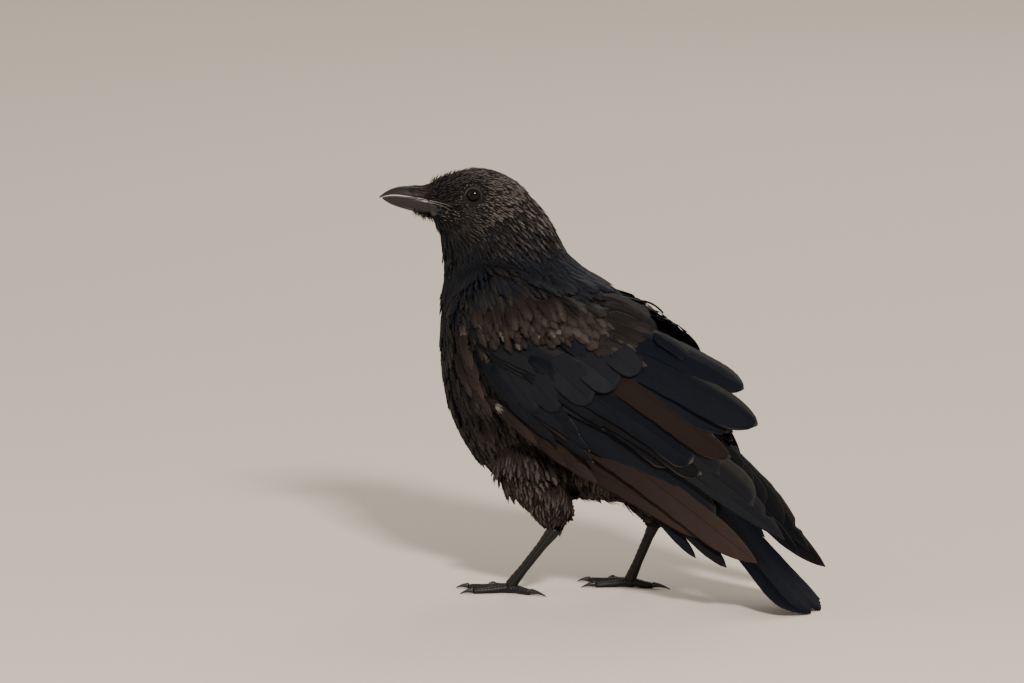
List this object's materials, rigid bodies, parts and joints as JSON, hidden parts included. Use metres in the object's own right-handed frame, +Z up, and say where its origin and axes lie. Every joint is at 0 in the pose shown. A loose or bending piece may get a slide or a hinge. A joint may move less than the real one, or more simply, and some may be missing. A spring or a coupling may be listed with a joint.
{
  "type": "carrion crow",
  "caption": "Life-size still model of a carrion crow standing in mid-stride, wings folded, tail low and head turned to its left.",
  "frame": {"origin": "on the floor, under the middle of the whole bird's box", "axes": "+Z up; the body heads along -X with the tail towards +X; the bird's left side faces -Y"},
  "size_m": [0.326, 0.12, 0.3002],
  "materials": {
    "plumage": "soft contour feathers, dull brownish black with faint gloss",
    "flight_feathers": "firm vanes, blue-black gloss, older ones dark brown",
    "bill": "slate-black horn, satin, paler along the cutting edges",
    "eye": "wet, near-black brown",
    "leg_skin": "black scutes, satin",
    "claw": "black horn, smooth"
  },
  "bodies": {
    "root": {"head": "plumage", "neck": "plumage", "trunk": "plumage", "bill_upper": "bill", "bill_lower": "bill", "eye_left": "eye", "eye_right": "eye", "tail": "flight_feathers", "wing_left_arm": "plumage", "wing_left_primaries": "flight_feathers", "wing_left_tertials": "flight_feathers", "thigh_left": "plumage", "shank_left": "leg_skin", "foot_left": "leg_skin", "claw_left_inner": "claw", "claw_left_middle": "claw", "claw_left_outer": "claw", "claw_left_hind": "claw", "wing_right_arm": "plumage", "wing_right_primaries": "flight_feathers", "wing_right_tertials": "flight_feathers", "thigh_right": "plumage", "shank_right": "leg_skin", "foot_right": "leg_skin", "claw_right_inner": "claw", "claw_right_middle": "claw", "claw_right_outer": "claw", "claw_right_hind": "claw"}
  },
  "joints": []
}
